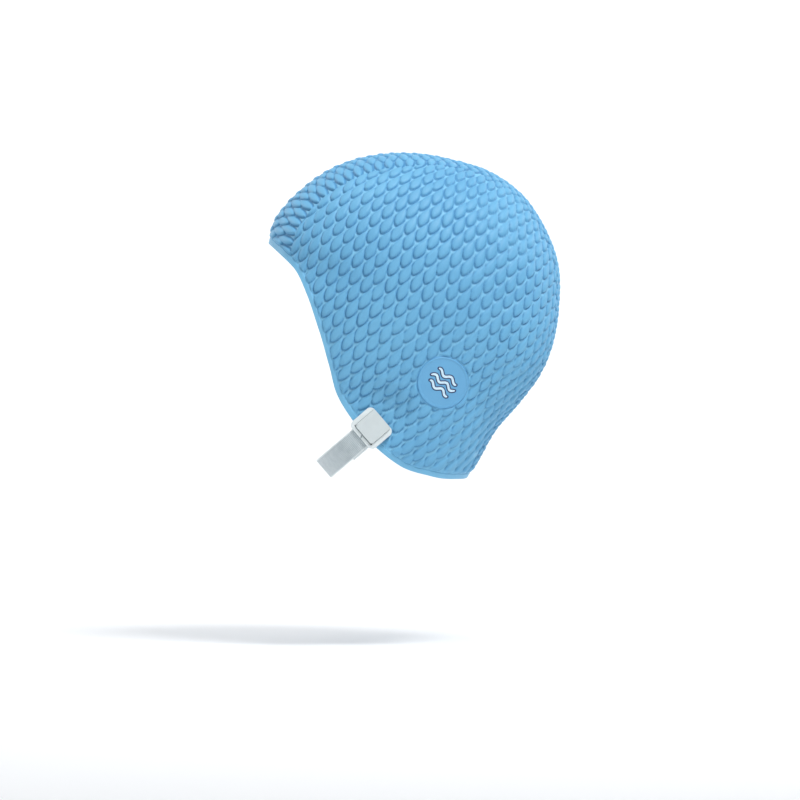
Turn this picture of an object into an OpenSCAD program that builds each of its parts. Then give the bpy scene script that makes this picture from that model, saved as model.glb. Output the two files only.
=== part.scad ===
// Moulded latex swim cap with a chin strap held by two clips.
// Millimetres. +Z is up, the wearer faces -Y and +X is the wearer's left.
// The origin is the middle of the opening, halfway between the brow and the nape.

/* [Cap] */
// Half of the cap's width, over the ears
half_width = 78; // [74:1:82]
// Thickness of the latex wall
wall = 1.2; // [0.8:0.1:2]
// Roundness of the cross-sections: 2 is an ellipse, more is squarer
fullness = 2.2; // [2:0.1:2.4]
// Width of the smooth band along the edge
band_width = 3.8; // [2.5:0.1:5]
// How far the band stands proud of the wall on each side
band_proud = 0.3; // [0.1:0.1:0.3]

/* [Badge] */
// Diameter of the smooth round badge
badge_d = 35; // [26:1:38]
// Thickness of the badge
badge_thick = 0.8; // [0.5:0.1:1.5]
// Number of printed waves
waves = 3; // [1:1:4]
// Height of each wave from its middle line
wave_height = 1.3; // [0.5:0.1:1.5]
// Slope of the waves, downwards to the back
wave_slope = 38; // [0:1:90]

/* [Chin strap] */
// Width of the elastic
strap_width = 15.7; // [10:0.1:16.4]
// Thickness of the elastic
strap_thick = 0.9; // [0.7:0.05:0.95]
// How far the strap hangs below the studs, along its slope
strap_drop = 47; // [40:1:75]
// Slope of the strap, downwards to the chin
strap_slope = 40.6; // [20:0.1:70]
// Length of the folded tail outside the clip
tail_length = 11; // [6:1:16]

/* [Clips] */
// Length of a clip, along the strap
clip_length = 20; // [19:0.5:24]
// Width of a clip, across the strap
clip_width = 23.7; // [23:0.1:27]
// Radius of the clip's corners
clip_corner = 3.4; // [2:0.1:4]
// Radius of the stud's shank
stud_r = 2; // [1.5:0.1:2.5]

/* [Hidden] */
$fn = 48;

latex = [0.49, 0.74, 0.90];
plastic = [0.93, 0.94, 0.94];
metal = [0.70, 0.71, 0.73];
elastic = [0.76, 0.81, 0.83];

// Middle of the head, and the pole over the back of the crown that the latex is laid out from
centre = [0, 32, 41];
pole = [0, cos(52), sin(52)];
// Radius of the side profile about the centre, every 15 degrees from the back and over the top.
// The stretch over the face is the head's own, and sets how wide the opening is.
profile_step = 15;
profile = [
    98.5, 101, 101.8, 103, 101.9, 99.8, 100.9, 103.5, 106.9, 109.2, 111.2, 107.5,
    117, 125, 131, 139, 150, 162, 158, 129, 106.1, 100, 99.4, 98.6
];
// Left half of the cap's edge, from the brow past the ear to the nape
rim_half = [
    [0, -69.5, 80.5], [30, -65, 76], [52, -52.5, 63], [63.5, -42, 44], [68.5, -34, 20],
    [69.5, -28, -5], [68.5, -22.5, -28], [66, -5.5, -51.2], [60, 20, -72.5], [50, 42, -78],
    [28, 60, -79.5], [0, 67.6, -81.4]
];
rim_split = 4;
rows = 20;
band_section = [[0, 0], [0.2, -1], [0.8, -1], [1, 0.1], [1, 0.9], [0.8, 2], [0.2, 2], [0, 1]];

// The stud goes through the left and right corners of the latex, where it is pulled flat
stud_y = 4;
stud_z = -45;
tab_x = 68;
tab_flat = 15;
tab_fade = 34;

badge_y = 50.4;
badge_z = -15.9;
badge_lift = 0.1;
print_lift = 0.05;
print_thick = 0.12;
wave_gap = 5;
wave_length = 9;
outline_half = 1.5;
fill_half = 0.8;

// Heights in a clip, counted outwards from the face of the latex
floor_low = 0.6;
floor_high = 1.5;
frame_high = 5.1;
cover_low = 5.1;
cover_high = 6.3;
// Places in a clip, counted from the stud towards the chin
clip_back = -7.5;
clip_front = clip_back + clip_length;
split_bar = 2.3;
side_wall = 3.25;
cover_front = 9;
cover_gap = 0.1;
pin_r = 0.75;
pin_at = [-5.9, 4.3];
bar_r = 0.65;
bar_at = [6.6, 3.2];
knuckle_r = 1.5;
running = 0.05;
head_r = 3.8;
head_thick = 0.9;
washer_r = 4.4;
washer_thick = 1;
rivet = 0.4;

strap_gap = 0.1;
strap_power = 2.3;
tail_at = floor_high + strap_gap + strap_thick / 2;
main_at = tail_at + strap_thick + strap_gap;
loop_r = bar_at.y - tail_at;

function ease(t) = let (c = max(0, min(1, t))) c * c * (3 - 2 * c);
function unit(v) = v / norm(v);
function turned(v) = [-v.y, v.x];
function lap(i, n) = (i % n + n) % n;
// A smooth curve from b to c, with a and d the points on each side
function cubic(a, b, c, d, t) =
    b + (c - a) * t / 2 + (a - 2.5 * b + 2 * c - 0.5 * d) * t * t
    + (1.5 * (b - c) + 0.5 * (d - a)) * t * t * t;
function on_loop(list, place) =
    let (i = floor(place), n = len(list))
    cubic(list[lap(i - 1, n)], list[lap(i, n)], list[lap(i + 1, n)], list[lap(i + 2, n)], place - i);

// The head's surface: every cut through both ears is a rounded oval
function profile_radius(angle) = on_loop(profile, angle / profile_step);
function reach(d) =
    let (r = profile_radius(atan2(d.z, d.y)))
    pow(pow(abs(d.x) / half_width, fullness) + pow(norm([d.y, d.z]) / r, fullness), -1 / fullness);
function side_reach(y, z) =
    let (a = y - centre.y, b = z - centre.z, q = norm([a, b]) / profile_radius(atan2(b, a)))
    half_width * pow(1 - pow(q, fullness), 1 / fullness);
// The latex is pulled flat about the studs, so that the clips can turn on it
function tab(y, z) = ease((tab_fade - norm([y - stud_y, z - stud_z])) / (tab_fade - tab_flat));
function settled(p, depth) =
    let (w = tab(p.y, p.z))
    [sign(p.x) * (abs(p.x) * (1 - w) + (tab_x - depth) * w), p.y, p.z];
function skin(d, depth) = settled(centre + (reach(d) - depth) * d, depth);

// The edge, as directions from the centre, each reached by an arc from the pole
rim_count = len(rim_half) - 1;
rim_points = concat(rim_half, [for (i = [rim_count - 1:-1:1]) [-rim_half[i].x, rim_half[i].y, rim_half[i].z]]);
columns = len(rim_points) * rim_split;
rim_rays = [for (i = [0:columns - 1]) unit(on_loop(rim_points, i / rim_split) - centre)];
rim_angles = [for (ray = rim_rays) acos(ray * pole)];
rim_sides = [for (ray = rim_rays) unit(ray - (ray * pole) * pole)];
function ray_at(i, angle) = pole * cos(angle) + rim_sides[i] * sin(angle);
band_angles = [for (i = [0:columns - 1])
    band_width / norm(skin(ray_at(i, rim_angles[i]), 0) - skin(ray_at(i, rim_angles[i] - 1), 0))];

// Rings of points joined into a closed solid: a tube whose ends meet, or one with two caps
function quads(rings, n, last) =
    [for (j = [0:last - 1], i = [0:n - 1])
        let (a = j * n, b = lap(j + 1, rings) * n, k = lap(i + 1, n))
        each [[a + i, a + k, b + k], [a + i, b + k, b + i]]];

module cap_shell() {
    outer = [for (j = [1:rows], i = [0:columns - 1])
        skin(ray_at(i, (rim_angles[i] - band_angles[i]) * j / rows), 0)];
    inner = [for (j = [rows:-1:1], i = [0:columns - 1])
        skin(ray_at(i, (rim_angles[i] - band_angles[i]) * j / rows), wall)];
    n = len(outer) * 2;
    last = n - columns;
    caps = [for (i = [0:columns - 1]) let (k = lap(i + 1, columns))
        each [[n, k, i], [n + 1, last + i, last + k]]];
    color(latex) difference() {
        polyhedron(concat(outer, inner, [skin(pole, 0), skin(pole, wall)]),
            concat(quads(2 * rows, columns, 2 * rows - 1), caps));
        for (side = [1, -1]) at_stud(side) rod(stud_r, -wall - 1, 1);
    }
}

module rim_band() {
    section = len(band_section);
    // Along the section, x runs from the wall to the edge, and y from the outer face to the inner
    function depth(y) = y < 0 ? -band_proud : y > 1 ? wall + band_proud : y * wall;
    points = [for (i = [0:columns - 1], p = band_section)
        skin(ray_at(i, rim_angles[i] - band_angles[i] * (1 - p.x)), depth(p.y))];
    color(latex) polyhedron(points, quads(columns, section, columns));
}

// A plate that follows the latex: rings of [y, z] places, from height low to height high over it
function lifted(p, height) = [side_reach(p.x, p.y) + height, p.x, p.y];
module laid_ribbon(left, right, low, high) {
    n = len(left);
    points = [for (i = [0:n - 1]) each [
        lifted(left[i], low), lifted(right[i], low), lifted(right[i], high), lifted(left[i], high)]];
    last = 4 * (n - 1);
    polyhedron(points, concat(quads(n, 4, n - 1), [[3, 2, 1], [3, 1, 0]],
        [[last, last + 1, last + 2], [last, last + 2, last + 3]]));
}

module badge_disc() {
    around = 48;
    rings = 6;
    function ring(j, high) = [for (i = [0:around - 1])
        let (r = badge_d / 2 * j / rings, a = i * 360 / around)
        lifted([badge_y + r * cos(a), badge_z + r * sin(a)], high)];
    points = concat(
        [for (j = [1:rings]) each ring(j, badge_lift)],
        [for (j = [rings:-1:1]) each ring(j, badge_lift + badge_thick)],
        [lifted([badge_y, badge_z], badge_lift), lifted([badge_y, badge_z], badge_lift + badge_thick)]);
    n = 2 * rings * around;
    last = n - around;
    caps = [for (i = [0:around - 1]) let (k = lap(i + 1, around))
        each [[n, k, i], [n + 1, last + i, last + k]]];
    color(latex) polyhedron(points, concat(quads(2 * rings, around, 2 * rings - 1), caps));
}

// One layer of the printed waves, each a ribbon with rounded ends
module wave_layer(half, low) {
    steps = 24;
    function place(a, b) = [
        badge_y + a * cos(wave_slope) + b * sin(wave_slope),
        badge_z - a * sin(wave_slope) + b * cos(wave_slope)];
    function swing(a) = wave_height * sin(a * 360 / wave_length);
    function width(a, end) = half * pow(1.03 - pow(abs(a) / end, 8), 0.5);
    function edge(middle, end, way) = [for (i = [0:steps])
        let (a = end * sin(90 * (2 * i / steps - 1))) place(a, middle + swing(a) + way * width(a, end))];
    for (row = [0:waves - 1]) {
        middle = (row - (waves - 1) / 2) * wave_gap;
        end = wave_length + half - abs(middle) / 3;
        laid_ribbon(edge(middle, end, 1), edge(middle, end, -1), low, low + print_thick);
    }
}

module badge_outline() {
    color("midnightblue") wave_layer(outline_half, badge_lift + badge_thick + print_lift);
}

module badge_waves() {
    color("aliceblue") wave_layer(fill_half, badge_lift + badge_thick + print_lift + print_thick);
}

// A clip's own frame: x towards the chin, y across the strap, z outwards from the latex
module at_stud(side) {
    if (side > 0) translate([tab_x, stud_y, stud_z]) rotate([strap_slope - 90, 0, 0])
        rotate([0, 90, 0]) children();
    else mirror([1, 0, 0]) at_stud(1) children();
}

module rod(r, low, high) {
    translate([0, 0, low]) cylinder(r = r, h = high - low);
}

module cross_rod(at, r, length) {
    translate([at.x, 0, at.y]) rotate([90, 0, 0]) cylinder(r = r, h = length, center = true);
}

module block(x, y, z) {
    translate([x[0], y[0], z[0]]) cube([x[1] - x[0], y[1] - y[0], z[1] - z[0]]);
}

module rounded_plate(x, half, r, low, high) {
    translate([0, 0, low]) linear_extrude(high - low) {
        translate([x[0] + r, -half]) square([x[1] - x[0] - 2 * r, 2 * half]);
        translate([x[0], r - half]) square([x[1] - x[0], 2 * half - 2 * r]);
        for (a = [x[0] + r, x[1] - r], b = [r - half, half - r]) translate([a, b]) circle(r);
    }
}

// Strap: a ribbon round the bar of each clip and under the chin, drawn in the plane of x and slope
function loop_point(a) = [tab_x + bar_at.y + loop_r * sin(a), bar_at.x - loop_r * cos(a)];
function hang(a, inset) =
    let (p = 2 / strap_power, r = tab_x + main_at, drop = strap_drop - clip_front)
    [(r - inset) * pow(cos(a), p), clip_front + (drop - inset) * pow(sin(a), p)];
tail_end = 42 * tail_length / (strap_drop - clip_front) + 6;
strap_half = concat(
    [for (i = [0:6]) hang(tail_end * (1 - i / 6), strap_thick + strap_gap)],
    [for (a = [-90:15:90]) loop_point(a)],
    [for (i = [1:5]) let (t = i / 6)
        [tab_x + bar_at.y + loop_r - (bar_at.y + loop_r - main_at) * ease(t),
            bar_at.x + (clip_front - 1 - bar_at.x) * t]],
    [[tab_x + main_at, clip_front - 1]],
    [for (a = [0:6:84]) hang(a, 0)]);
strap_path = concat(strap_half, [hang(90, 0)],
    [for (i = [len(strap_half) - 1:-1:0]) [-strap_half[i].x, strap_half[i].y]]);
function ribbon_side(path, shift) = let (n = len(path))
    [for (i = [0:n - 1]) path[i] + shift * turned(unit(path[min(i + 1, n - 1)] - path[max(i - 1, 0)]))];

module chin_strap() {
    one = ribbon_side(strap_path, strap_thick / 2);
    other = ribbon_side(strap_path, -strap_thick / 2);
    color(elastic) translate([0, stud_y, stud_z]) rotate([180 + strap_slope, 0, 0])
        linear_extrude(strap_width, center = true)
            polygon(concat(one, [for (i = [len(other) - 1:-1:0]) other[i]]));
}

module stud(side) {
    color(plastic) at_stud(side) {
        rod(stud_r, -wall - washer_thick - rivet, floor_high + running);
        rod(head_r, floor_high + running, floor_high + running + head_thick);
    }
}

module washer(side) {
    color(plastic) at_stud(side) difference() {
        rod(washer_r, -wall - washer_thick, -wall);
        rod(stud_r, -wall - washer_thick - 1, 0);
    }
}

module clip_frame(side) {
    half = clip_width / 2;
    well = half - side_wall;
    color(plastic) at_stud(side) difference() {
        rounded_plate([clip_back, clip_front], half, clip_corner, floor_low, frame_high);
        // The well for the cover, open at the back, and the way under the split bar for the strap
        block([clip_back - 1, clip_front - split_bar], [-well, well], [floor_high, frame_high + 1]);
        block([clip_front - split_bar - 1, clip_front + 1], [-well, well], [floor_high, frame_high - 1.4]);
        // The slanted slit that lets the strap's loop on to the bar
        translate([clip_front - split_bar / 2, 0, frame_high - 2]) rotate([0, 0, 20])
            cube([2 * split_bar, 0.7, 6], center = true);
        rod(stud_r + running, 0, floor_high + 1);
        cross_rod(pin_at, pin_r, 2 * well + 4);
        cross_rod(bar_at, bar_r, 2 * well + 2);
    }
}

module clip_cover(side) {
    half = clip_width / 2 - side_wall - cover_gap;
    color(plastic) at_stud(side) difference() {
        union() {
            rounded_plate([clip_back, cover_front], half, 1, cover_low, cover_high);
            block([pin_at.x - knuckle_r, pin_at.x + knuckle_r], [-half, half], [pin_at.y, cover_low]);
            cross_rod(pin_at, knuckle_r, 2 * half);
        }
        cross_rod(pin_at, pin_r + running, 2 * half + 2);
    }
}

module cover_pin(side) {
    color(metal) at_stud(side) cross_rod(pin_at, pin_r, clip_width - 2 * side_wall + 4);
}

module strap_bar(side) {
    color(metal) at_stud(side) cross_rod(bar_at, bar_r, clip_width - 2 * side_wall + 2);
}

cap_shell();
rim_band();
badge_disc();
badge_outline();
badge_waves();
chin_strap();
stud(1);  // left_stud
stud(-1);  // right_stud
washer(1);  // left_washer
washer(-1);  // right_washer
clip_frame(1);  // left_clip_frame
clip_frame(-1);  // right_clip_frame
clip_cover(1);  // left_clip_cover
clip_cover(-1);  // right_clip_cover
cover_pin(1);  // left_cover_pin
cover_pin(-1);  // right_cover_pin
strap_bar(1);  // left_strap_bar
strap_bar(-1);  // right_strap_bar
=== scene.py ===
"""A latex swim cap with scale-shaped bubbles, a smooth band and badge, and a chin strap on two clips.

Lengths are in millimetres until a mesh is made, and the axes are the part's: +Z up, the wearer faces -Y.
"""
import math

import bmesh
import bpy
import numpy as np
from mathutils import Matrix, Vector


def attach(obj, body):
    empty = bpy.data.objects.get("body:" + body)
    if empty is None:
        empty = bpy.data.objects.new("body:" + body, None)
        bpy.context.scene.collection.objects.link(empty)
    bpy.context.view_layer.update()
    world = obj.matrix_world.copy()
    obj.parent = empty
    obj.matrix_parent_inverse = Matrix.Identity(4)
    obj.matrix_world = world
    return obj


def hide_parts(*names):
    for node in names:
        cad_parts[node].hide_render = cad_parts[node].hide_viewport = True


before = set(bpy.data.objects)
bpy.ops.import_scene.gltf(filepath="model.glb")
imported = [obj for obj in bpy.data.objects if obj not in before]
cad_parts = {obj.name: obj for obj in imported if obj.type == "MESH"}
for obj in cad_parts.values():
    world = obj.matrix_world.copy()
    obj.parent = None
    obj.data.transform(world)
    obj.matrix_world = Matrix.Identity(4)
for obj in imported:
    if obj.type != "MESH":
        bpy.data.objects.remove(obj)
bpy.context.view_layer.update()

MM = 0.001

# ---------------------------------------------------------------- the head's surface, as in the part's source
# The side profile's radius at each step from the back of the head upwards, and half of the edge, brow to nape
HALF_WIDTH = 78.0
FULLNESS = 2.2
WALL = 1.2
BAND_WIDTH = 3.8
CENTRE = np.array([0.0, 32.0, 41.0])
POLE = np.array([0.0, math.cos(math.radians(52)), math.sin(math.radians(52))])
PROFILE_STEP = 15.0
PROFILE = np.array([
    98.5, 101, 101.8, 103, 101.9, 99.8, 100.9, 103.5, 106.9, 109.2, 111.2, 107.5,
    117, 125, 131, 139, 150, 162, 158, 129, 106.1, 100, 99.4, 98.6])
RIM_HALF = np.array([
    [0, -69.5, 80.5], [30, -65, 76], [52, -52.5, 63], [63.5, -42, 44], [68.5, -34, 20],
    [69.5, -28, -5], [68.5, -22.5, -28], [66, -5.5, -51.2], [60, 20, -72.5], [50, 42, -78],
    [28, 60, -79.5], [0, 67.6, -81.4]])
STUD = (4.0, -45.0)
TAB_X = 68.0
TAB_FLAT = 15.0
TAB_FADE = 34.0
BADGE = (50.4, -15.9)
BADGE_R = 17.5
STRAP_SLOPE = math.radians(40.6)


def ease(t):
    t = np.clip(t, 0, 1)
    return t * t * (3 - 2 * t)


def cubic(a, b, c, d, t):
    """A smooth curve from b to c, with a and d the points on each side"""
    return (b + (c - a) * t / 2 + (a - 2.5 * b + 2 * c - 0.5 * d) * t**2
            + (1.5 * (b - c) + 0.5 * (d - a)) * t**3)


def on_loop(values, place):
    """A smooth curve through values that repeat, at a place counted in values"""
    i = np.floor(place).astype(int)
    t = place - i
    if values.ndim > 1:
        t = t[..., None]
    return cubic(*[values[(i + k) % len(values)] for k in (-1, 0, 1, 2)], t)


def profile_radius(angle):
    return on_loop(PROFILE, np.degrees(angle) / PROFILE_STEP)


def reach(d):
    """Distance from the head's centre to its surface, along unit vectors"""
    r = profile_radius(np.arctan2(d[..., 2], d[..., 1]))
    side = np.hypot(d[..., 1], d[..., 2])
    return ((np.abs(d[..., 0]) / HALF_WIDTH) ** FULLNESS + (side / r) ** FULLNESS) ** (-1 / FULLNESS)


def settled(p, depth):
    """The latex is pulled flat about the studs"""
    far = np.hypot(p[..., 1] - STUD[0], p[..., 2] - STUD[1])
    w = ease((TAB_FADE - far) / (TAB_FADE - TAB_FLAT))
    out = p.copy()
    out[..., 0] = np.sign(p[..., 0]) * (np.abs(p[..., 0]) * (1 - w) + (TAB_X - depth) * w)
    return out


def skin(d, depth=0.0):
    return settled(CENTRE + (reach(d) - depth)[..., None] * d, depth)


def side_skin(y, z):
    """The point of the left side that is seen at y, z from the left"""
    a, b = y - CENTRE[1], z - CENTRE[2]
    q = np.hypot(a, b) / profile_radius(np.arctan2(b, a))
    x = HALF_WIDTH * (1 - q**FULLNESS) ** (1 / FULLNESS)
    return settled(np.stack([x, y, z], -1), 0.0)


RIM = np.concatenate([RIM_HALF, RIM_HALF[-2:0:-1] * [-1, 1, 1]])


def rim_frame(n):
    """For n places round the edge: its angle from the pole, the way there, and the angle of the band"""
    rays = on_loop(RIM, np.arange(n) * len(RIM) / n) - CENTRE
    rays /= np.linalg.norm(rays, axis=1)[:, None]
    angle = np.arccos(rays @ POLE)
    way = rays - (rays @ POLE)[:, None] * POLE
    way /= np.linalg.norm(way, axis=1)[:, None]
    small = math.radians(1)
    span = np.linalg.norm(skin(ray_at(angle, way)) - skin(ray_at(angle - small, way)), axis=1)
    return angle, way, BAND_WIDTH * small / span


def ray_at(angle, way):
    return POLE * np.cos(angle)[..., None] + way * np.sin(angle)[..., None]


# ---------------------------------------------------------------- the latex laid flat, for the bubbles
ARC_RADII = np.linspace(90, 170, 41)
ARC_TURNS = np.linspace(0, math.pi / 2, 241)
_r = ARC_RADII[:, None] * np.sin(ARC_TURNS) ** (2 / FULLNESS)
_x = HALF_WIDTH * np.cos(ARC_TURNS) ** (2 / FULLNESS) * np.ones_like(_r)
_steps = np.hypot(np.diff(_r, axis=1), np.diff(_x, axis=1))
ARC = np.concatenate([np.zeros((len(ARC_RADII), 1)), np.cumsum(_steps, axis=1)], axis=1)


def arc_from_ear(radius, turn):
    """Distance over the surface from the ear, on a cut of this side radius, by the cut's own angle"""
    a = np.clip((radius - ARC_RADII[0]) / (ARC_RADII[1] - ARC_RADII[0]), 0, len(ARC_RADII) - 1.001)
    b = np.clip(turn / ARC_TURNS[1], 0, len(ARC_TURNS) - 1.001)
    i, j = a.astype(int), b.astype(int)
    s, t = a - i, b - j
    low = ARC[i, j] * (1 - t) + ARC[i, j + 1] * t
    high = ARC[i + 1, j] * (1 - t) + ARC[i + 1, j + 1] * t
    return low * (1 - s) + high * s


RIDGE_ANGLES = np.radians(np.linspace(-100, 190, 581))
_ridge = np.stack([np.cos(RIDGE_ANGLES), np.sin(RIDGE_ANGLES)], 1) * profile_radius(RIDGE_ANGLES)[:, None]
RIDGE = np.concatenate([[0], np.cumsum(np.linalg.norm(np.diff(_ridge, axis=0), axis=1))])
# Half-width of the strip over the top, along the surface, by the angle in the side view
STRIP_ANGLES = np.radians([-90, -40, 10, 55, 78, 92, 120, 150, 190])
STRIP_HALF = np.array([20, 21, 23, 27, 33, 42, 47, 52, 54], float)


def strip_half(angle):
    return np.interp(angle, STRIP_ANGLES, STRIP_HALF)


def laid_flat(d):
    """Angle in the side view, distance from the ear, and signed distance from the middle of the cap"""
    angle = np.arctan2(d[..., 2], d[..., 1])
    radius = profile_radius(angle)
    power = FULLNESS / 2
    outwards = (np.abs(d[..., 0]) / HALF_WIDTH) ** power
    turn = np.arctan2((np.hypot(d[..., 1], d[..., 2]) / radius) ** power, outwards)
    from_ear = arc_from_ear(radius, turn)
    whole = arc_from_ear(radius, np.full_like(turn, math.pi / 2))
    return angle, from_ear, np.sign(d[..., 0]) * (whole - from_ear)


# ---------------------------------------------------------------- bubbles
SIDE_STEPS = np.array([[7.7, -5.7], [-9.0, -5.7]])
SIDE_AXIS = math.radians(59)
LOW_TURN = math.radians(0.10)
# Below this distance under the ear's level, the bubbles stand closer
LOW_FROM, LOW_CLOSER = 40.0, 0.12
# The strip's bubbles stand in lines along it, as many on each side of the middle however wide the strip is
STRIP_LINES = 3.9
STRIP_LINE = 10.0
STRIP_STEPS = np.array([[STRIP_LINE, 3.95], [STRIP_LINE, -3.95]])
STRIP_AXIS = math.radians(180)
GROOVE = -0.38
CREASE, CREASE_MOST = 0.45, 1.1
# About each stud: the share of a bubble's height under the clip, how far the clip reaches, and its pull
CLIP_LOWERS, CLIP_REACH, PULL_REACH = 0.66, 16.5, 48
# Depth of the inner face, a little more than the wall so that the creases stay clear of it
INNER = WALL + 0.4
# The outline of a bubble's two ends
ROUND_POWER, POINT_POWER = 1.7, 1.8
# Length, half-width and height of the bubbles at the sides and in the strip
SIDE_LENGTH, STRIP_LENGTH = 16.4, 1.8 * STRIP_LINE
BUBBLE_HALF = 3.5
SIDE_HIGH, STRIP_HIGH = 1.5, 1.75
# How flat the plate of a bubble is, and how much the strip's lean over
SIDE_FLAT, STRIP_FLAT, STRIP_TILT = 1.0, 0.15, 0.28
# The strip's creases run deeper than the sides' and carry darker painted shade
STRIP_CREASE = 1.6
# Sunken bubbles: the place of a group in the side view, its radius, and the share of single ones elsewhere
DENT, DENT_R = (0.5, 23.0), 12
DENT_SINGLE = 0.985


def chance(i, j, seed):
    """A repeatable number from 0 to 1 for each bubble"""
    v = np.sin(i * 12.9898 + j * 78.233 + seed * 37.719) * 43758.5453
    return v - np.floor(v)


# Share of a bubble's length that its round end takes, and how far its middle stands ahead of its place
ROUND_SHARE, AHEAD = 0.38, 0.12


def drop(along, across, length, half, flatness, tilt, dent):
    """Height, from 0 to 1, of a bubble: a plate, steep and round at one end, that slopes down to a point.

    Flatness moves the fall to the pointed end, tilt lowers one long side, and dent sinks the middle.
    Also returns how near a place is to the foot of the round end, which deepens the groove there and sets its
    painted shade.
    """
    back, front = ROUND_SHARE * length, (1 - ROUND_SHARE) * length
    t = along + AHEAD * length
    w = np.abs(across) / half
    round_end = (np.abs(t / back) ** ROUND_POWER + w**ROUND_POWER) ** (1 / ROUND_POWER)
    outline = np.where(t < 0, round_end, np.abs(t / front) ** POINT_POWER + w)
    plate = np.clip(1 - outline**3, 0, 1) ** 0.55
    fall = flatness * np.clip(t / front, 0, 1) ** 1.6 + (1 - flatness) * (t + back) / length
    slope = 1 - 0.80 * fall - 0.15 * w**2 - tilt * across / half
    hollow = dent * np.exp(-((t / (0.3 * length)) ** 2) - (w / 0.6) ** 2)
    foot = ease((1.30 - outline) / 0.22) * ease((0.5 - t / back) / 0.6)
    return np.where(outline < 1, plate * (slope - hollow), 0.0), foot


def bubbles(a, b, steps, axis, length, half, flatness, tilt, kept):
    """The highest bubble of a lattice at each place, and the creases; kept says which bubbles there are"""
    inverse = np.linalg.inv(steps)
    u = a * inverse[0, 0] + b * inverse[1, 0]
    v = a * inverse[0, 1] + b * inverse[1, 1]
    iu, iv = np.floor(u), np.floor(v)
    c, s = np.cos(axis), np.sin(axis)
    best, crease = np.zeros_like(a), np.zeros_like(a)
    for du in (-1, 0, 1, 2):
        for dv in (-1, 0, 1, 2):
            i, j = iu + du, iv + dv
            mid_a = i * steps[0, 0] + j * steps[1, 0]
            mid_b = i * steps[0, 1] + j * steps[1, 1]
            there, dent = kept(mid_a, mid_b, i, j)
            da = a - mid_a - 0.6 * (chance(i, j, 1) - 0.5)
            db = b - mid_b - 0.6 * (chance(i, j, 2) - 0.5)
            lean = 0.14 * (chance(i, j, 3) - 0.5)
            along = da * c + db * s
            across = db * c - da * s - lean * along
            size = 1 + 0.08 * (chance(i, j, 4) - 0.5)
            height, foot = drop(along, across, length * size, half * size, flatness, tilt, dent)
            height = height * (0.9 + 0.2 * chance(i, j, 5))
            best = np.maximum(best, np.where(there, height, 0.0))
            crease = np.maximum(crease, np.where(there, foot, 0.0))
    return best, crease * ease((0.62 - best) / 0.3)


def side_kept(a, b, i, j):
    angle, from_ear = np.arctan2(b, a), np.hypot(a, b)
    whole = arc_from_ear(profile_radius(angle), np.full_like(a, math.pi / 2))
    wide = np.where((angle < math.radians(-100)) | (angle > math.radians(190)), -1e3, strip_half(angle))
    near = np.hypot(a + CENTRE[1] - DENT[0], b + CENTRE[2] - DENT[1])
    dent = (np.where(near < DENT_R, 0.45 * chance(i, j, 6), 0.0)
            + np.where(chance(i, j, 7) > DENT_SINGLE, 0.3, 0.0))
    return whole - from_ear > wide - 6.0, dent


def strip_kept(across, along, i, j):
    line = across / STRIP_LINE
    return (line > -STRIP_LINES - 0.5) & (line < STRIP_LINES - 0.5), np.zeros_like(across)


def relief(d):
    """Height of the bubbled face over the smooth one, and the creases, which set both their depth and their
    painted shade
    """
    angle, from_ear, off_middle = laid_flat(d)
    a, b = from_ear * np.cos(angle), from_ear * np.sin(angle)
    axis = SIDE_AXIS + LOW_TURN * np.clip(b, -110, 0)
    b = b + LOW_CLOSER * np.minimum(b + LOW_FROM, 0)
    side, side_crease = bubbles(a, b, SIDE_STEPS, axis, SIDE_LENGTH, BUBBLE_HALF, SIDE_FLAT, 0.0, side_kept)
    past_strip = ease((np.abs(off_middle) - strip_half(angle) + 1.8) / 2.4)
    in_strip = ease((strip_half(angle) + 1.2 - np.abs(off_middle)) / 2.0)
    run = np.interp(angle, RIDGE_ANGLES, RIDGE)
    lines = off_middle / strip_half(angle) * STRIP_LINES * STRIP_LINE
    strip, strip_crease = bubbles(
        lines, run, STRIP_STEPS, STRIP_AXIS, STRIP_LENGTH, BUBBLE_HALF, STRIP_FLAT, STRIP_TILT, strip_kept)
    side, side_crease = side * past_strip, side_crease * past_strip
    strip, strip_crease = strip * in_strip, strip_crease * in_strip
    rise = np.maximum(SIDE_HIGH * side, STRIP_HIGH * strip)
    crease = np.maximum(side_crease, STRIP_CREASE * strip_crease) * ease((0.8 - rise) / 0.5)
    return rise, crease


# ---------------------------------------------------------------- meshes
def new_mesh(name, points, faces, smooth=True, attributes=None):
    """A mesh object from points in millimetres"""
    mesh = bpy.data.meshes.new(name)
    mesh.from_pydata((np.asarray(points) * MM).tolist(), [], [tuple(int(i) for i in f) for f in faces])
    mesh.polygons.foreach_set("use_smooth", [smooth] * len(mesh.polygons))
    for key, values in (attributes or {}).items():
        attribute = mesh.attributes.new(key, "FLOAT", "POINT")
        attribute.data.foreach_set("value", np.asarray(values, np.float32))
    mesh.validate()
    obj = bpy.data.objects.new(name, mesh)
    bpy.context.collection.objects.link(obj)
    return obj


def finished(obj, material, body, slot, *nodes):
    """Gives a piece its material and its body, and hides the imported parts that it stands for"""
    obj.data.materials.clear()
    obj.data.materials.append(material)
    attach(obj, body)
    if nodes:
        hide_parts(*nodes)
    return obj


def between(low, high):
    """Faces between two closed rings of vertex numbers, the second with as many or twice as many"""
    n = len(low)
    k = np.roll(np.arange(n), -1)
    if len(high) == n:
        return np.stack([low, low[k], high[k], high], 1).tolist()
    even, odd = high[0::2], high[1::2]
    return (np.stack([low, odd, even], 1).tolist() + np.stack([low, low[k], odd], 1).tolist()
            + np.stack([low[k], even[k], odd], 1).tolist())


def normals_of(grid):
    """Unit normals of a grid of points whose second direction closes on itself"""
    down = np.gradient(grid, axis=0)
    round_ = np.roll(grid, -1, 1) - np.roll(grid, 1, 1)
    n = np.cross(round_, down)
    return n / np.maximum(np.linalg.norm(n, axis=-1), 1e-9)[..., None]


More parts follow.
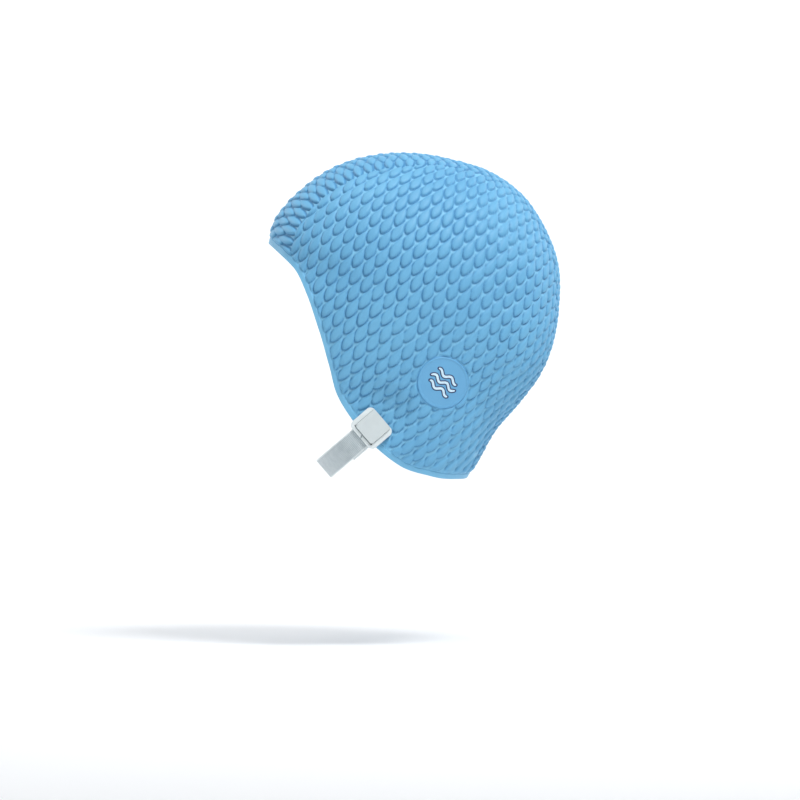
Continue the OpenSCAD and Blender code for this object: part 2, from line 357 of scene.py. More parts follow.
def cap_grid(columns, rows, depth):
    """Rays from the pole to the band, the smooth face at a depth there, and each place's angle to the band"""
    angle, way, band = rim_frame(columns)
    share = np.arange(1, rows + 1)[:, None] / rows
    rays = ray_at(share * (angle - 0.9 * band)[None], np.broadcast_to(way, (rows, columns, 3)))
    return rays, skin(rays, depth), (1 - share) * (angle - 0.9 * band)[None]


def off_badge(p):
    """0 under the badge and 1 away from it"""
    far = np.hypot(p[..., 1] - BADGE[0], p[..., 2] - BADGE[1])
    return np.where(p[..., 0] > 0, ease((far - BADGE_R - 0.1) / 1.1), 1.0)


def outer_height(rays, base, to_band):
    """How far the outer face stands off the smooth one, and the rise and crease that colour it; the crease
    colours it with painted shade
    """
    height, crease = relief(rays)
    from_stud = np.hypot(base[..., 1] - STUD[0], base[..., 2] - STUD[1])
    # Flatter under and beside the clips, nothing under the badge, and falling to the band
    height = height * (CLIP_LOWERS + (1 - CLIP_LOWERS) * ease((from_stud - CLIP_REACH) / 4.0))
    keep = off_badge(base) * ease(to_band / math.radians(1.3))
    # The pull of the strap deepens the creases by the clips, and so darkens their painted shade there too
    crease = crease * (1 + 0.5 * ease((PULL_REACH - from_stud) / (PULL_REACH / 2)))
    return keep * (height - CREASE * np.minimum(crease, CREASE_MOST)) + GROOVE, keep * height, keep * crease


# A ring is thinned while its points stay closer than on a circle this long, to one in so many at the most
FULL_CIRCLE, MOST_THINNED = 800, 16
# Depth of the hollow inside a bubble, as a share of its height
HOLLOW = 0.3


def build_cap(material):
    """The bubbled shell: rings of points about the pole, fewer near it, outside and then inside"""
    columns, rows = ((1024, 360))
    rays, base, to_band = cap_grid(columns, rows, 0.0)
    height, rise, crease = outer_height(rays, base, to_band)
    outward = normals_of(base)
    outward *= np.sign((outward * (base - CENTRE)).sum(-1))[..., None]
    outer = base + outward * height[..., None]
    points, lift, dark, faces, rings = [], [], [], [], []

    def add_ring(p, high, low):
        start = sum(len(x) for x in points)
        points.append(p)
        lift.append(high)
        dark.append(low)
        return np.arange(start, start + len(p))

    pole_height, pole_crease = relief(POLE[None])
    top = add_ring(skin(POLE[None]) + POLE * (pole_height + GROOVE), pole_height, pole_crease)
    circle = np.linalg.norm(np.roll(base, -1, 1) - base, axis=-1).sum(1)
    for j in range(rows):
        thin = 1
        while circle[j] / (columns / (2 * thin)) < FULL_CIRCLE / columns and thin < MOST_THINNED:
            thin *= 2
        step = thin if j == 0 else max(thin, step // 2)
        rings.append(add_ring(outer[j, ::step], rise[j, ::step], crease[j, ::step]))
    first = rings[0]
    faces += np.stack([np.full(len(first), top[0]), np.roll(first, -1), first], 1)[:, ::-1].tolist()
    for low, high in zip(rings, rings[1:]):
        faces += between(low, high)
    # The inner face, with a shallow hollow behind each bubble, on a coarser grid
    inner_columns, inner_rows = columns // 2, rows * 2 // 5
    rays, base, to_band = cap_grid(inner_columns, inner_rows, INNER)
    hollow = HOLLOW * relief(rays)[0] * ease(to_band / math.radians(2.5)) * off_badge(base)
    inward = normals_of(base)
    inward *= np.sign((inward * (base - CENTRE)).sum(-1))[..., None]
    inner = base + inward * hollow[..., None]
    none = np.zeros(inner_columns)
    rings_in = [add_ring(inner[j], 0.3 * hollow[j], none) for j in range(inner_rows)]
    faces += [f[::-1] for f in between(rings_in[-1], rings[-1])]
    for low, high in zip(rings_in, rings_in[1:]):
        faces += [f[::-1] for f in between(low, high)]
    bottom = add_ring(skin(POLE[None], INNER), none[:1], none[:1])
    first = rings_in[0]
    faces += np.stack([np.full(len(first), bottom[0]), np.roll(first, -1), first], 1).tolist()
    # The crease attribute carries the painted shade of the creases into the material
    obj = new_mesh("latex_cap", np.concatenate(points), faces,
                   attributes={"rise": np.concatenate(lift), "crease": np.concatenate(dark)})
    fix_normals(obj)
    return finished(obj, material, "cap", "latex", "cap_shell")


def fix_normals(obj):
    bm = bmesh.new()
    bm.from_mesh(obj.data)
    bmesh.ops.recalc_face_normals(bm, faces=bm.faces)
    bm.to_mesh(obj.data)
    bm.free()


# The band's section: x runs from the wall to the edge in band widths, y is the height over the outer face
BAND_SECTION = [
    (-0.10, -0.7), (-0.06, -0.15), (0.06, 0.12), (0.25, 0.22), (0.5, 0.24), (0.72, 0.27), (0.86, 0.42),
    (0.96, 0.34), (1.04, -0.1), (1.06, -0.6), (1.02, -1.15), (0.92, -1.5), (0.72, -1.45), (0.4, -1.42),
    (0.05, -1.4), (-0.10, -1.2)]


def build_band(material):
    n = 1200
    angle, way, band = rim_frame(n)
    rings = []
    for x, y in BAND_SECTION:
        base = skin(ray_at(angle - band * (1 - x), way))
        outward = normals_of(np.stack([base, skin(ray_at(angle - band * (1 - x) + 0.01, way))]))[0]
        outward *= np.sign((outward * (base - CENTRE)).sum(-1))[..., None]
        rings.append(base + outward * y)
    count = len(BAND_SECTION)
    points = np.concatenate(rings)
    faces = []
    for k in range(count):
        faces += between(np.arange(n) + n * k, np.arange(n) + n * ((k + 1) % count))
    obj = new_mesh("edge_band", points, faces)
    fix_normals(obj)
    return finished(obj, material, "cap", "latex_band", "rim_band")


# ---------------------------------------------------------------- badge and print
BADGE_SECTION = [
    (0.0, 0.62), (0.5, 0.62), (0.86, 0.56), (0.905, 0.56), (0.925, 0.86), (0.955, 0.90), (0.975, 0.60),
    (0.99, 0.30), (1.0, -0.10), (1.01, -0.45)]
BADGE_TOP = 0.62


def badge_point(a, b, height):
    """A place on the badge, from its centre in the side view"""
    p = side_skin(BADGE[0] + a, BADGE[1] + b)
    p[..., 0] += height
    return p


def build_badge(material):
    around = 96
    turn = np.arange(around) * 2 * math.pi / around
    shares = np.concatenate([np.linspace(0.04, 0.84, 14), [s for s, _ in BADGE_SECTION[2:]]])
    heights = np.interp(shares, *zip(*BADGE_SECTION))
    rings, faces = [badge_point(np.zeros(1), np.zeros(1), np.array([BADGE_TOP]))], []
    for s, h in zip(shares, heights):
        rings.append(badge_point(BADGE_R * s * np.cos(turn), BADGE_R * s * np.sin(turn), h))
    ids = [np.arange(around) + 1 + around * k for k in range(len(shares))]
    faces += np.stack([np.zeros(around, int), ids[0], np.roll(ids[0], -1)], 1).tolist()
    for low, high in zip(ids, ids[1:]):
        faces += between(low, high)
    points = np.concatenate(rings)
    # The back, so that the badge is a closed disc
    back = badge_point(BADGE_R * np.cos(turn), BADGE_R * np.sin(turn), -0.6)
    middle = badge_point(np.zeros(1), np.zeros(1), np.array([-0.6]))
    start = len(points)
    faces += between(ids[-1], np.arange(around) + start)
    faces += [(start + around, start + (i + 1) % around, start + i) for i in range(around)]
    obj = new_mesh("badge", np.concatenate([points, back, middle]), faces)
    fix_normals(obj)
    return finished(obj, material, "cap", "latex_badge", "badge_disc")


WAVE_GAP = 5.0
WAVE_LENGTH = 9.0
WAVE_HEIGHT = 1.3
WAVE_SLOPE = math.radians(38)


def build_waves(name, material, slot, half, lift, node):
    """Three printed waves, each a thin ribbon with round ends, that lie on the badge"""
    steps, lanes = 72, 5
    points, faces = [], []
    c, s = math.cos(WAVE_SLOPE), math.sin(WAVE_SLOPE)
    for row in range(3):
        middle = (row - 1) * WAVE_GAP
        end = WAVE_LENGTH + half - abs(middle) / 3
        t = np.sin(np.linspace(-math.pi / 2, math.pi / 2, steps)) * end
        width = half * np.sqrt(np.clip(1.0 - (np.abs(t) / end) ** 10, 0.0, 1)) + 0.01
        swing = middle + WAVE_HEIGHT * np.sin(t * 2 * math.pi / WAVE_LENGTH)
        slope = np.arctan(WAVE_HEIGHT * 2 * math.pi / WAVE_LENGTH * np.cos(t * 2 * math.pi / WAVE_LENGTH))
        for height, way in ((lift, 1), (lift - 0.12, -1)):
            for lane in np.linspace(-1, 1, lanes) * way:
                a = t - np.sin(slope) * lane * width
                b = swing + np.cos(slope) * lane * width
                points.append(badge_point(a * c + b * s, b * c - a * s, height))
        first = row * 2 * lanes * steps
        for lane in range(2 * lanes):
            low = first + lane * steps + np.arange(steps - 1)
            high = first + (lane + 1) % (2 * lanes) * steps + np.arange(steps - 1)
            faces += np.stack([low, low + 1, high + 1, high], 1).tolist()
        for end_at in (0, steps - 1):
            faces.append([first + lane * steps + end_at for lane in range(2 * lanes)])
    obj = new_mesh(name, np.concatenate(points), faces)
    fix_normals(obj)
    return finished(obj, material, "cap", slot, node)


# ---------------------------------------------------------------- clips
# In the clip's own frame x runs to the chin and z outwards
CLIP_BACK, CLIP_FRONT, CLIP_HALF = -7.5, 12.5, 11.85
FLOOR_LOW, FLOOR_HIGH, FRAME_HIGH = 0.6, 1.5, 5.1
COVER_LOW, COVER_HIGH, COVER_FRONT = 5.1, 6.3, 9.7
# The frame's walls at the sides, and the bar at its front that a slanting slit splits
SIDE_WALL, SPLIT_BAR, BAR_THICK = 3.25, 2.3, 1.4
SLIT_TURN = math.radians(24)
FRAME_CORNER, COVER_CORNER = 3.8, 1.9
WELL = CLIP_HALF - SIDE_WALL
COVER_HALF = WELL - 0.1
PIN_R, PIN_AT = 0.75, (-5.9, 4.3)
BAR_R, BAR_AT = 0.65, (6.6, 3.2)
KNUCKLE_R = 1.5
STUD_R, HEAD_R, WASHER_R = 2.0, 3.8, 4.4


def clip_matrix(side):
    """From the clip's frame, in metres, to the part's"""
    c, s = math.cos(STRAP_SLOPE), math.sin(STRAP_SLOPE)
    return Matrix((
        (0, 0, side, side * TAB_X * MM),
        (-c, s, 0, STUD[0] * MM),
        (-s, -c, 0, STUD[1] * MM),
        (0, 0, 0, 1)))


def to_side(obj, side):
    obj.data.transform(clip_matrix(side))
    if side < 0:
        obj.data.flip_normals()
    return obj


def slab(outline, low, high, name="solid"):
    """An outline in x and y, extruded from low to high"""
    n = len(outline)
    points = [(x, y, low) for x, y in outline] + [(x, y, high) for x, y in outline]
    faces = [tuple(range(n))[::-1], tuple(range(n, 2 * n))]
    faces += [(i, (i + 1) % n, n + (i + 1) % n, n + i) for i in range(n)]
    return new_mesh(name, points, faces, smooth=False)


def rounded(x0, x1, half, r, steps=8):
    """A rectangle with round corners"""
    out = []
    y = half - r
    for cx, cy, start in ((x1 - r, y, 0), (x0 + r, y, 90), (x0 + r, -y, 180), (x1 - r, -y, 270)):
        for k in range(steps + 1):
            a = math.radians(start + 90 * k / steps)
            out.append((cx + r * math.cos(a), cy + r * math.sin(a)))
    return out


def box_outline(x0, x1, y0, y1):
    return [(x0, y0), (x1, y0), (x1, y1), (x0, y1)]


def cross_rod(at, r, half, steps=32):
    """A temporary rod along y"""
    turn = np.arange(steps) * 2 * math.pi / steps
    ring = [(at[0] + r * math.cos(a), at[1] + r * math.sin(a)) for a in turn]
    points = [(x, -half, z) for x, z in ring] + [(x, half, z) for x, z in ring]
    faces = [tuple(range(steps)), tuple(range(steps, 2 * steps))[::-1]]
    faces += [(i, steps + i, steps + (i + 1) % steps, (i + 1) % steps) for i in range(steps)]
    return new_mesh("solid", points, faces, smooth=False)


def combine(obj, *others, operation="DIFFERENCE"):
    """Cuts or adds temporary solids, and removes them"""
    for other in others:
        m = obj.modifiers.new("solid", "BOOLEAN")
        m.operation = operation
        m.solver = "EXACT"
        m.object = other
        apply_modifiers(obj)
        bpy.data.objects.remove(other, do_unlink=True)
    return obj


def apply_modifiers(obj):
    evaluated = obj.evaluated_get(bpy.context.evaluated_depsgraph_get())
    mesh = bpy.data.meshes.new_from_object(evaluated)
    obj.modifiers.clear()
    obj.data = mesh


def softened(obj, width, segments=3, angle=35):
    """Rounds the moulded edges"""
    m = obj.modifiers.new("edges", "BEVEL")
    m.width = width * MM
    m.segments = segments
    m.limit_method = "ANGLE"
    m.angle_limit = math.radians(angle)
    m.harden_normals = False
    m.use_clamp_overlap = True
    apply_modifiers(obj)
    obj.data.polygons.foreach_set("use_smooth", [True] * len(obj.data.polygons))
    obj.data.set_sharp_from_angle(angle=math.radians(40))
    return obj


def build_frame(side, name, material):
    outline = rounded(CLIP_BACK, CLIP_FRONT, CLIP_HALF, FRAME_CORNER)
    frame_solid = slab(outline, FLOOR_LOW, FRAME_HIGH, f"{name}_clip_body")
    slit = slab(box_outline(-SPLIT_BAR, SPLIT_BAR, -0.4, 0.4), FRAME_HIGH - 3, FRAME_HIGH + 1)
    slit.data.transform(Matrix.Translation(Vector(((CLIP_FRONT - SPLIT_BAR / 2) * MM, 0, 0)))
                        @ Matrix.Rotation(SLIT_TURN, 4, "Z"))
    combine(
        frame_solid,
        slab(box_outline(CLIP_BACK - 1, CLIP_FRONT - SPLIT_BAR, -WELL, WELL), FLOOR_HIGH, FRAME_HIGH + 1),
        slab(box_outline(CLIP_FRONT - SPLIT_BAR - 1, CLIP_FRONT + 1, -WELL, WELL),
             FLOOR_HIGH, FRAME_HIGH - BAR_THICK),
        slit)
    return finished(to_side(softened(frame_solid, 0.7, 4), side), material, "strap", "white_plastic",
                    f"{name}_clip_frame")


def build_cover(side, name, material):
    outline = rounded(CLIP_BACK, COVER_FRONT, COVER_HALF, COVER_CORNER)
    cover = slab(outline, COVER_LOW, COVER_HIGH, f"{name}_clip_plate")
    reach_x, reach_y = KNUCKLE_R - 0.1, COVER_HALF - 0.01
    web = slab(box_outline(PIN_AT[0] - reach_x, PIN_AT[0] + reach_x, -reach_y, reach_y),
               PIN_AT[1], COVER_LOW + 0.3)
    combine(cover, cross_rod(PIN_AT, KNUCKLE_R, reach_y), web, operation="UNION")
    combine(cover, cross_rod(PIN_AT, PIN_R + 0.05, COVER_HALF + 1))
    return finished(to_side(softened(cover, 0.5, 4), side), material, f"{name}_cover", "cover_plastic",
                    f"{name}_clip_cover")


def lathe(name, section, steps=48):
    """A solid of revolution about z from points of radius and height, with a flat face at both ends"""
    turn = np.arange(steps) * 2 * math.pi / steps
    points, faces = [], []
    for r, z in section:
        points += [(r * math.cos(a), r * math.sin(a), z) for a in turn]
    for k in range(len(section) - 1):
        faces += between(np.arange(steps) + k * steps, np.arange(steps) + (k + 1) * steps)
    last = (len(section) - 1) * steps
    faces += [tuple(range(steps))[::-1], tuple(range(last, last + steps))]
    obj = new_mesh(name, points, faces)
    obj.data.set_sharp_from_angle(angle=math.radians(40))
    return obj


def build_stud(side, name, material):
    low, seat = -WALL - 1.0, FLOOR_HIGH + 0.05
    section = [
        (1.2, low - 0.5), (2.3, low - 0.42), (2.7, low - 0.2), (2.7, low), (STUD_R, low), (STUD_R, seat),
        (HEAD_R - 0.2, seat), (HEAD_R, FLOOR_HIGH + 0.25), (HEAD_R - 0.1, FLOOR_HIGH + 0.6),
        (HEAD_R - 0.6, FLOOR_HIGH + 0.85), (HEAD_R - 1.6, FLOOR_HIGH + 0.95)]
    stud = lathe(f"{name}_rivet", section)
    return finished(to_side(stud, side), material, "cap", "white_plastic", f"{name}_stud")


def build_washer(side, name, material):
    low, high = -WALL - 1.05, -WALL - 0.1
    bore = STUD_R + 0.05
    section = [
        (bore, low), (WASHER_R - 0.35, low), (WASHER_R - 0.08, low + 0.12), (WASHER_R, low + 0.4),
        (WASHER_R, high), (bore, high)]
    washer = lathe(f"{name}_backing", section)
    return finished(to_side(washer, side), material, "cap", "white_plastic", f"{name}_washer")


def build_pin(side, name, at, r, half, material, node):
    """A steel wire pin along y with softened ends, for the cover's hinge and for the strap's loop"""
    section = [(r * 0.7, -half), (r, -half + 0.25), (r, half - 0.25), (r * 0.7, half)]
    pin = lathe(f"{name}_wire_{node.split('_')[-1]}", section, 24)
    there = Matrix.Translation(Vector((at[0] * MM, 0, at[1] * MM)))
    pin.data.transform(there @ Matrix.Rotation(math.pi / 2, 4, "X"))
    return finished(to_side(pin, side), material, "strap", "steel", node)


# ---------------------------------------------------------------- chin strap
STRAP_WIDTH, STRAP_THICK, STRAP_DROP = 15.7, 0.9, 47.0
TAIL_LENGTH = 11.0
STRAP_GAP = 0.1
STRAP_POWER = 2.3
TAIL_AT = FLOOR_HIGH + STRAP_GAP + STRAP_THICK / 2
MAIN_AT = TAIL_AT + STRAP_THICK + STRAP_GAP
LOOP_R = BAR_AT[1] - TAIL_AT
# The weave: ribs across the width, where the plain edges begin, the pitch of the weft, and the relief of both
RIBS = 22
SELVAGE = 0.965
WEFT = 1.1
RIB_HIGH, WEFT_HIGH = 0.07, 0.03
# How far the tails lie off the strap's middle, and how much closer in the strap runs past them
TAIL_SKEW = 1.0
PAST_TAIL_IN = 0.9


def hang(turn, inset):
    """The curve under the chin, from the clip at 0 to the lowest place at a quarter turn"""
    p = 2 / STRAP_POWER
    return np.stack([
        (TAB_X + MAIN_AT - inset) * np.cos(turn) ** p,
        CLIP_FRONT + (STRAP_DROP - CLIP_FRONT - inset) * np.sin(turn) ** p], -1)


def strap_path():
    """The strap's middle line in the plane of x and slope, from one folded tail to the other"""
    # The turn of the hanging curve at which a tail of this length ends, nearly
    tail_end = math.radians(42 * TAIL_LENGTH / (STRAP_DROP - CLIP_FRONT) + 6)
    tail = hang(np.linspace(tail_end, 0, 24), STRAP_THICK + STRAP_GAP)
    turn = np.radians(np.linspace(-90, 90, 25))
    loop = np.stack([TAB_X + BAR_AT[1] + LOOP_R * np.sin(turn), BAR_AT[0] - LOOP_R * np.cos(turn)], -1)
    t = np.linspace(0, 1, 13)[1:]
    high = BAR_AT[1] + LOOP_R
    down = np.stack(
        [TAB_X + high - (high - MAIN_AT) * ease(t), BAR_AT[0] + (CLIP_FRONT - 1 - BAR_AT[0]) * t], -1)
    turn = np.linspace(0, math.pi / 2, 90)
    past_tail = ease((turn - tail_end + 0.02) / 0.05)
    half = np.concatenate([tail, loop, down, hang(turn, PAST_TAIL_IN * past_tail)])
    whole = np.concatenate([half, half[-2::-1] * [-1, 1]])
    keep = np.concatenate([[True], np.linalg.norm(np.diff(whole, axis=0), axis=1) > 0.02])
    whole = whole[keep]
    run = np.concatenate([[0], np.cumsum(np.linalg.norm(np.diff(whole, axis=0), axis=1))])
    even = np.linspace(0, run[-1], int(run[-1] / (0.55)))
    return np.stack([np.interp(even, run, whole[:, k]) for k in (0, 1)], -1), even


def build_strap(material):
    """Flat elastic along the path, with ribs along it and a weft across it"""
    path, run = strap_path()
    ahead = np.gradient(path, axis=0)
    ahead /= np.linalg.norm(ahead, axis=1)[:, None]
    sideways = np.stack([-ahead[:, 1], ahead[:, 0]], -1)
    on_tail = ease((TAIL_LENGTH + 14 - np.minimum(run, run[-1] - run)) / 6)
    lanes = 133
    v = np.linspace(-1, 1, lanes)
    rib = 0.5 + 0.5 * np.cos(v * RIBS * math.pi)
    body = STRAP_THICK / 2 * np.clip(1 - np.abs(v) ** 24, 0, 1) ** 0.5
    thick = body - RIB_HIGH + RIB_HIGH * rib * (np.abs(v) < SELVAGE)
    ends = np.clip(np.minimum(run, run[-1] - run) / 0.5, 0.25, 1)
    weft = WEFT_HIGH * np.sin(run * 2 * math.pi / WEFT)
    c, s = math.cos(STRAP_SLOPE), math.sin(STRAP_SLOPE)
    rings = []
    for face in (1, -1):
        for lane in (range(lanes) if face > 0 else range(lanes - 2, 0, -1)):
            offset = face * (thick[lane] * ends + weft * (abs(v[lane]) < SELVAGE))
            flat = path + sideways * offset[:, None]
            w = v[lane] * STRAP_WIDTH / 2 + TAIL_SKEW * on_tail
            rings.append(np.stack(
                [flat[:, 0], STUD[0] - c * flat[:, 1] + s * w, STUD[1] - s * flat[:, 1] - c * w], -1))
    n, count = len(path), len(rings)
    faces = []
    for k in range(count):
        low = k * n + np.arange(n - 1)
        high = (k + 1) % count * n + np.arange(n - 1)
        faces += np.stack([low, low + 1, high + 1, high], 1).tolist()
    faces += [[k * n for k in range(count)], [k * n + n - 1 for k in range(count)][::-1]]
    across = np.repeat(np.concatenate([v, v[-2:0:-1]]), n)
    obj = new_mesh("elastic_strap", np.concatenate(rings), faces,
                   attributes={"across": across, "run": np.tile(run, count)})
    fix_normals(obj)
    return finished(obj, material, "strap", "elastic", "chin_strap")


# ---------------------------------------------------------------- materials
def new_material(name, **values):
    m = bpy.data.materials.new(name)
    m.use_nodes = True
    shader = m.node_tree.nodes["Principled BSDF"]
    for key, value in values.items():
        shader.inputs[key.replace("_", " ")].default_value = value
    return m, m.node_tree, shader


def add(tree, kind, **values):
    node = tree.nodes.new(kind)
    for key, value in values.items():
        if key in node.inputs:
            node.inputs[key].default_value = value
        else:
            setattr(node, key, value)
    return node


def noise(tree, scale, detail=3.0, roughness=0.5):
    where = add(tree, "ShaderNodeTexCoord")
    node = add(tree, "ShaderNodeTexNoise", Scale=scale, Detail=detail, Roughness=roughness)
    tree.links.new(where.outputs["Object"], node.inputs["Vector"])
    return node.outputs["Fac"]


def ramp(tree, value, *stops):
    node = add(tree, "ShaderNodeValToRGB")
    tree.links.new(value, node.inputs["Fac"])
    elements = node.color_ramp.elements
    while len(elements) < len(stops):
        elements.new(0.5)
    for element, (place, colour) in zip(elements, stops):
        element.position = place
        element.color = (*colour, 1)
    return node.outputs["Color"]


def mix(tree, share, one, other, blend="MIX"):
    node = add(tree, "ShaderNodeMix", data_type="RGBA", blend_type=blend)
    for place, value in ((0, share), (6, one), (7, other)):
        if isinstance(value, bpy.types.NodeSocket):
            tree.links.new(value, node.inputs[place])
        else:
            node.inputs[place].default_value = value
    return node.outputs[2]


def bump(tree, shader, strength, distance, *heights):
    """Bumps from one or more heights, each (value, weight)"""
    total = None
    for value, weight in heights:
        scaled = add(tree, "ShaderNodeMath", operation="MULTIPLY")
        tree.links.new(value, scaled.inputs[0])
        scaled.inputs[1].default_value = weight
        if total is None:
            total = scaled.outputs[0]
            continue
        both = add(tree, "ShaderNodeMath", operation="ADD")
        tree.links.new(total, both.inputs[0])
        tree.links.new(scaled.outputs[0], both.inputs[1])
        total = both.outputs[0]
    node = add(tree, "ShaderNodeBump", Strength=strength, Distance=distance)
    tree.links.new(total, node.inputs["Height"])
    tree.links.new(node.outputs["Normal"], shader.inputs["Normal"])


def roughness(tree, shader, value, low, high):
    node = add(tree, "ShaderNodeMapRange")
    tree.links.new(value, node.inputs["Value"])
    node.inputs["To Min"].default_value = low
    node.inputs["To Max"].default_value = high
    tree.links.new(node.outputs["Result"], shader.inputs["Roughness"])


# Painted shade: the deep blue that the creases at the foot of each bubble are darkened towards
CREASE_SHADE_COLOUR = (0.055, 0.22, 0.44)
# Painted highlight: the pale colour of the strap's two edges
EDGE_HIGHLIGHT_COLOUR = (0.80, 0.85, 0.86)


def latex_material(name, light, dark, groove, rough):
    """Matt rubber with faint clouds, and paler grooves with painted shade in the creases where a groove
    colour is given
    """
    m, tree, shader = new_material(name, Specular_IOR_Level=0.30)
    cloudy = noise(tree, 22, 3)
    colour = ramp(tree, cloudy, (0.35, dark), (0.65, light))
    specks = noise(tree, 900, 2)
    colour = mix(tree, 0.06, colour, ramp(tree, specks, (0.4, dark), (0.6, light)))
    if groove:
        rise = add(tree, "ShaderNodeAttribute", attribute_name="rise").outputs["Fac"]
        raised = ramp(tree, rise, (0.0, (0.0,) * 3), (0.55, (1.0,) * 3))
        colour = mix(tree, raised, (*groove, 1), colour)
        # Painted shade: darkens the creases, where the foot of each bubble's round end lies in shadow
        crease = add(tree, "ShaderNodeAttribute", attribute_name="crease").outputs["Fac"]
        shade = ramp(tree, crease, (0.0, (0.0,) * 3), (1.0, (0.75,) * 3))
        colour = mix(tree, shade, colour, (*CREASE_SHADE_COLOUR, 1))
    tree.links.new(colour, shader.inputs["Base Color"])
    roughness(tree, shader, noise(tree, 60, 4), rough - 0.06, rough + 0.08)
    bump(tree, shader, 0.25, 0.0004, (noise(tree, 1400, 3), 0.5), (noise(tree, 160, 3), 1.0))
    return m


def ink_material(name, colour):
    m, tree, shader = new_material(name, Specular_IOR_Level=0.35)
    lighter = tuple(min(1, c * 1.25 + 0.01) for c in colour)
    mottled = ramp(tree, noise(tree, 700, 3), (0.35, colour), (0.7, lighter))
    tree.links.new(mottled, shader.inputs["Base Color"])
    roughness(tree, shader, noise(tree, 400, 2), 0.35, 0.5)
    bump(tree, shader, 0.2, 0.0001, (noise(tree, 1200, 2), 1.0))
    return m


def plastic_material(name, colour, rough):
    m, tree, shader = new_material(
        name, Specular_IOR_Level=0.5, Subsurface_Weight=0.08, Subsurface_Scale=0.0015)
    shader.inputs["Subsurface Radius"].default_value = (1.0, 0.95, 0.9)
    duller = tuple(c * 0.94 for c in colour)
    mottled = ramp(tree, noise(tree, 90, 4), (0.35, duller), (0.65, colour))
    tree.links.new(mottled, shader.inputs["Base Color"])
    roughness(tree, shader, noise(tree, 300, 4), rough - 0.05, rough + 0.09)
    bump(tree, shader, 0.12, 0.0002, (noise(tree, 500, 4), 1.0))
    return m


def elastic_material():
    m, tree, shader = new_material("woven_elastic", Specular_IOR_Level=0.2, Sheen_Weight=0.35)
    across = add(tree, "ShaderNodeAttribute", attribute_name="across").outputs["Fac"]
    run = add(tree, "ShaderNodeAttribute", attribute_name="run").outputs["Fac"]

    def stripes(value, per_unit):
        turned = add(tree, "ShaderNodeMath", operation="MULTIPLY")
        tree.links.new(value, turned.inputs[0])
        turned.inputs[1].default_value = per_unit * 2 * math.pi
        wave = add(tree, "ShaderNodeMath", operation="SINE")
        tree.links.new(turned.outputs[0], wave.inputs[0])
        half = add(tree, "ShaderNodeMath", operation="MULTIPLY_ADD")
        tree.links.new(wave.outputs[0], half.inputs[0])
        half.inputs[1].default_value = 0.5
        half.inputs[2].default_value = 0.5
        return half.outputs[0]

    warp, weft = stripes(across, RIBS / 2), stripes(run, 1 / WEFT)
    light, dark = (0.60, 0.66, 0.68), (0.36, 0.43, 0.46)
    colour = mix(tree, ramp(tree, weft, (0.0, (0.15,) * 3), (1.0, (0.95,) * 3)), (*dark, 1), (*light, 1))
    fibres = ramp(tree, noise(tree, 250, 4), (0.35, dark), (0.65, (0.62, 0.67, 0.69)))
    colour = mix(tree, 0.25, colour, fibres)
    # The two edges are painted lighter: a painted highlight where the strap's edges catch the light
    edge = add(tree, "ShaderNodeMath", operation="ABSOLUTE")
    tree.links.new(across, edge.inputs[0])
    at_edge = ramp(tree, edge.outputs[0], (0.86, (0.0,) * 3), (0.93, (0.85,) * 3))
    colour = mix(tree, at_edge, colour, (*EDGE_HIGHLIGHT_COLOUR, 1))
    tree.links.new(colour, shader.inputs["Base Color"])
    roughness(tree, shader, noise(tree, 500, 3), 0.75, 0.95)
    bump(tree, shader, 0.6, 0.00025, (weft, 0.6), (warp, 0.4), (noise(tree, 2500, 3), 0.6))
    return m


def steel_material():
    m, tree, shader = new_material("drawn_steel", Metallic=1.0)
    tree.links.new(ramp(tree, noise(tree, 400, 4), (0.3, (0.45, 0.46, 0.48)), (0.7, (0.66, 0.67, 0.69))),
                   shader.inputs["Base Color"])
    roughness(tree, shader, noise(tree, 900, 3), 0.28, 0.45)
    return m


# ---------------------------------------------------------------- the model
latex = latex_material(
    "moulded_latex", (0.150, 0.420, 0.655), (0.130, 0.380, 0.615), (0.200, 0.50, 0.73), 0.50)
band_latex = latex_material("band_latex", (0.19, 0.475, 0.71), (0.165, 0.445, 0.68), None, 0.46)
badge_latex = latex_material("badge_latex", (0.145, 0.405, 0.66), (0.130, 0.375, 0.63), None, 0.45)
white = plastic_material("white_plastic", (0.74, 0.80, 0.81), 0.34)
cover_white = plastic_material("cover_plastic", (0.62, 0.68, 0.69), 0.38)
steel = steel_material()

build_cap(latex)
build_band(band_latex)
build_badge(badge_latex)
navy_ink = ink_material("navy_ink", (0.008, 0.014, 0.09))
build_waves("wave_outline_print", navy_ink, "ink_dark", 1.5, BADGE_TOP + 0.06, "badge_outline")
pale_ink = ink_material("pale_ink", (0.55, 0.72, 0.86))
build_waves("wave_print", pale_ink, "ink_light", 0.8, BADGE_TOP + 0.14, "badge_waves")
build_strap(elastic_material())
for side, name in ((1, "left"), (-1, "right")):
    build_frame(side, name, white)
    build_cover(side, name, cover_white)
    build_stud(side, name, white)
    build_washer(side, name, white)
    build_pin(side, name, PIN_AT, PIN_R, WELL + 2, steel, f"{name}_cover_pin")
    build_pin(side, name, BAR_AT, BAR_R, WELL + 1, steel, f"{name}_strap_bar")

# ---------------------------------------------------------------- floor, light and camera
FLOOR = -0.197
SWEEP = 0.5


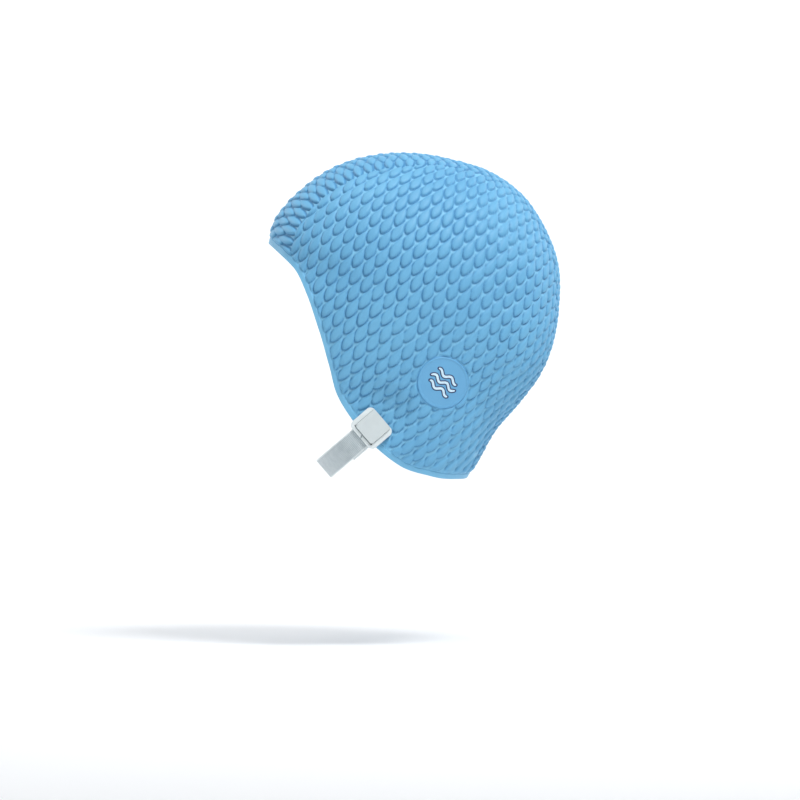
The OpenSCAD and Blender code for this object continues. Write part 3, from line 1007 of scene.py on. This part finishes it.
def build_stage():
    """A pale floor that sweeps up into a wall behind the cap"""
    front, depth, width, height = 8.0, 2.2, 8.0, 2.6
    line = [(front, FLOOR)]
    for a in np.linspace(0, math.pi / 2, 16):
        line.append((-depth + SWEEP - SWEEP * math.sin(a), FLOOR + SWEEP - SWEEP * math.cos(a)))
    line.append((-depth, FLOOR + height))
    points = [(x / MM, y / MM, z / MM) for x, z in line for y in (-width, width)]
    faces = [(2 * i, 2 * i + 1, 2 * i + 3, 2 * i + 2) for i in range(len(line) - 1)]
    floor = new_mesh("stage_floor", points, faces)
    m, _, shader = new_material("pale_floor", Roughness=0.9)
    shader.inputs["Base Color"].default_value = (0.90, 0.91, 0.92, 1)
    floor.data.materials.append(m)


def area_light(name, place, target, size, power, colour=(1, 1, 1)):
    light = bpy.data.lights.new(name, "AREA")
    light.size = size
    light.energy = power
    light.color = colour
    obj = bpy.data.objects.new(name, light)
    obj.location = place
    obj.rotation_euler = (Vector(target) - Vector(place)).to_track_quat("-Z", "Y").to_euler()
    bpy.context.collection.objects.link(obj)


build_stage()
middle = (0.0, 0.03, 0.03)
area_light("key", (0.85, 0.6, 1.3), middle, 0.5, 20)
area_light("top", (0.2, -0.3, 1.5), middle, 1.0, 6.2)
area_light("fill", (1.6, -0.9, 0.3), middle, 1.2, 3.0)
for side in (-1, 1):
    area_light("wall", (-0.9, 1.7 * side, 0.9), (-2.2, 0.0, 0.2), 1.0, 22)
world = bpy.data.worlds.new("studio")
world.use_nodes = True
world.node_tree.nodes["Background"].inputs["Color"].default_value = (0.93, 0.96, 1.0, 1)
world.node_tree.nodes["Background"].inputs["Strength"].default_value = 0.30
bpy.context.scene.world = world
bpy.context.scene.view_settings.view_transform = "Standard"

VIEW_MIDDLE = (0.0, 0.0214, -0.0276)
VIEW_SPAN = 0.552
VIEW_DISTANCE = 3.0
camera_data = bpy.data.cameras.new("camera")
camera_data.sensor_width = 36
camera_data.lens = 18 / (VIEW_SPAN / 2 / VIEW_DISTANCE)
camera_data.clip_end = 20
camera = bpy.data.objects.new("camera", camera_data)
camera.location = (VIEW_DISTANCE, VIEW_MIDDLE[1], VIEW_MIDDLE[2])
camera.rotation_euler = (math.pi / 2, 0, math.pi / 2)
bpy.context.collection.objects.link(camera)
bpy.context.scene.camera = camera
